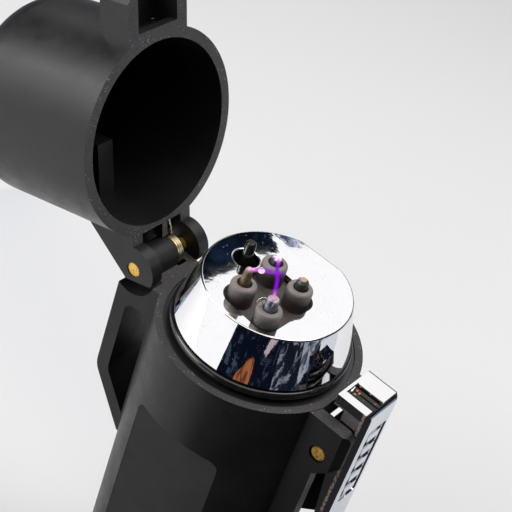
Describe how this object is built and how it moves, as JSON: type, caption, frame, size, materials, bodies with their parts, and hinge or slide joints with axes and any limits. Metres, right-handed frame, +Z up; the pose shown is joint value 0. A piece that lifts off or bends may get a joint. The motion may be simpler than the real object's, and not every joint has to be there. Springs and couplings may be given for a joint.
{
  "type": "electric arc lighter",
  "caption": "Pocket dual-arc lighter: black round body, hinged waterproof cap held open, chromed head with ceramic electrode posts, and a chromed latch lever.",
  "frame": {"origin": "centre of the flat base", "axes": "+Z up along the body axis; hinge at -X, latch at +X; fire button and charging port on +Y"},
  "size_m": [0.0689, 0.028, 0.0958],
  "materials": {
    "shell_plastic": "soft-touch matte black with a fine grain",
    "cap_plastic": "soft-touch matte black with a fine grain",
    "neck_plastic": "satin black",
    "chrome_head": "polished chrome plate",
    "chrome_latch": "polished chrome plate",
    "brass_pins": "bare brass, turned",
    "spring_wire": "drawn spring wire",
    "seal_rubber": "glossy black rubber",
    "ceramic": "unglazed grey-brown ceramic",
    "electrode_metal": "heat-tinted metal",
    "plunger_plastic": "glossy black",
    "button_rubber": "satin black rubber",
    "bezel_metal": "polished ring",
    "cover_rubber": "matt black rubber",
    "frame_plastic": "natural grey nylon",
    "board": "green solder mask",
    "components": "black moulded packages",
    "switch_plastic": "black",
    "potting": "black potting resin",
    "lead_insulation": "red silicone",
    "cell_wrap": "foil pouch",
    "port_metal": "drawn steel shell",
    "screw_steel": "blackened steel",
    "light_pipe": "frosted clear plastic"
  },
  "bodies": {
    "housing": {"body_shell": "shell_plastic", "hinge_pin": "brass_pins", "hinge_spring": "spring_wire", "head_collar": "neck_plastic", "seal_ring": "seal_rubber", "head_cover": "chrome_head", "electrode_holder": "ceramic", "electrodes": "electrode_metal", "hv_leads": "lead_insulation", "plunger_spring": "screw_steel", "plunger_guide": "neck_plastic", "safety_switch": "switch_plastic", "latch_pin": "brass_pins", "chassis_left": "frame_plastic", "chassis_right": "frame_plastic", "battery_cell": "cell_wrap", "battery_leads": "lead_insulation", "main_board": "board", "board_components": "components", "tact_switch": "switch_plastic", "button_bezel": "bezel_metal", "charge_light": "light_pipe", "usb_receptacle": "port_metal", "hv_transformer": "potting", "base_cap": "shell_plastic", "base_screws": "screw_steel", "base_gasket": "seal_rubber"},
    "cap": {"cap_shell": "cap_plastic", "hinge_spring_leg": "spring_wire"},
    "latch": {"latch_lever": "chrome_latch"},
    "plunger": {"safety_plunger": "plunger_plastic"},
    "button": {"fire_button": "button_rubber"},
    "cover": {"port_cover": "cover_rubber"}
  },
  "joints": [
    {"name": "cap_hinge", "type": "hinge", "parent": "housing", "child": "cap", "pos_m": [-0.0178, 0, 0.0602], "axis": [0, -1, 0], "range_deg": [-108.2, 0], "stiffness_Nm_per_rad": 0.003, "springref_deg": 20.05},
    {"name": "latch_pivot", "type": "hinge", "parent": "housing", "child": "latch", "pos_m": [0.016, 0, 0.0547], "axis": [0, 1, 0], "range_deg": [-6, 7]},
    {"name": "safety_plunger_slide", "type": "slide", "parent": "housing", "child": "plunger", "axis": [0, 0, 1], "range_m": [-0.0017, 0], "deforming": ["plunger_spring"]},
    {"name": "fire_button_slide", "type": "slide", "parent": "housing", "child": "button", "axis": [0, -1, 0], "range_m": [0, 0.0008], "stiffness_N_per_m": 600, "springref_m": -0.0008},
    {"name": "port_cover_hinge", "type": "hinge", "parent": "housing", "child": "cover", "pos_m": [0, 0.01205, 0.01455], "axis": [-1, 0, 0], "range_deg": [0, 100]}
  ],
  "couplings": [
    {"joint": "safety_plunger_slide", "follows": "cap_hinge", "m_per_rad": 0.00090021}
  ]
}
